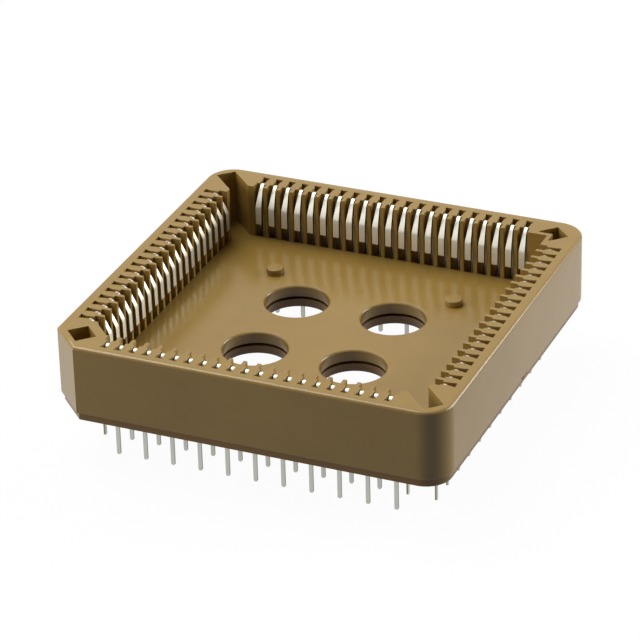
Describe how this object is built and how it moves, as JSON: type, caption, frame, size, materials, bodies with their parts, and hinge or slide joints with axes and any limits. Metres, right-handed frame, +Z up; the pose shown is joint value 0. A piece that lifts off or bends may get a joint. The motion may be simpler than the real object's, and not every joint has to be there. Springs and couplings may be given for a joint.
{
  "type": "chip carrier socket",
  "caption": "Square moulded socket with rows of sprung contacts inside its walls and two staggered rows of flat tails below, for a leaded chip carrier pressed in from above.",
  "frame": {"origin": "middle of the circuit board's face that the four feet stand on", "axes": "+Z up out of the open top, +X right along the front wall, +Y to the back; the bevelled corner is front left"},
  "size_m": [0.0361, 0.036, 0.0113],
  "materials": {
    "housing": "semi-gloss moulded",
    "base_plate": "fine matt moulded",
    "contacts": "matt tin plate"
  },
  "bodies": {
    "root": {"housing": "housing", "base_plate": "base_plate", "outer_contacts_front_1": "contacts", "outer_contacts_front_2": "contacts", "outer_contacts_front_3": "contacts", "outer_contacts_front_4": "contacts", "outer_contacts_front_5": "contacts", "outer_contacts_front_6": "contacts", "outer_contacts_right_1": "contacts", "outer_contacts_right_2": "contacts", "outer_contacts_right_3": "contacts", "outer_contacts_right_4": "contacts", "outer_contacts_right_5": "contacts", "outer_contacts_right_6": "contacts", "outer_contacts_back_1": "contacts", "outer_contacts_back_2": "contacts", "outer_contacts_back_3": "contacts", "outer_contacts_back_4": "contacts", "outer_contacts_back_5": "contacts", "outer_contacts_back_6": "contacts", "outer_contacts_left_1": "contacts", "outer_contacts_left_2": "contacts", "outer_contacts_left_3": "contacts", "outer_contacts_left_4": "contacts", "outer_contacts_left_5": "contacts", "outer_contacts_left_6": "contacts", "inner_contacts_front_1": "contacts", "inner_contacts_front_2": "contacts", "inner_contacts_front_3": "contacts", "inner_contacts_front_4": "contacts", "inner_contacts_front_5": "contacts", "inner_contacts_right_1": "contacts", "inner_contacts_right_2": "contacts", "inner_contacts_right_3": "contacts", "inner_contacts_right_4": "contacts", "inner_contacts_right_5": "contacts", "inner_contacts_back_1": "contacts", "inner_contacts_back_2": "contacts", "inner_contacts_back_3": "contacts", "inner_contacts_back_4": "contacts", "inner_contacts_back_5": "contacts", "inner_contacts_left_1": "contacts", "inner_contacts_left_2": "contacts", "inner_contacts_left_3": "contacts", "inner_contacts_left_4": "contacts", "inner_contacts_left_5": "contacts"}
  },
  "joints": []
}
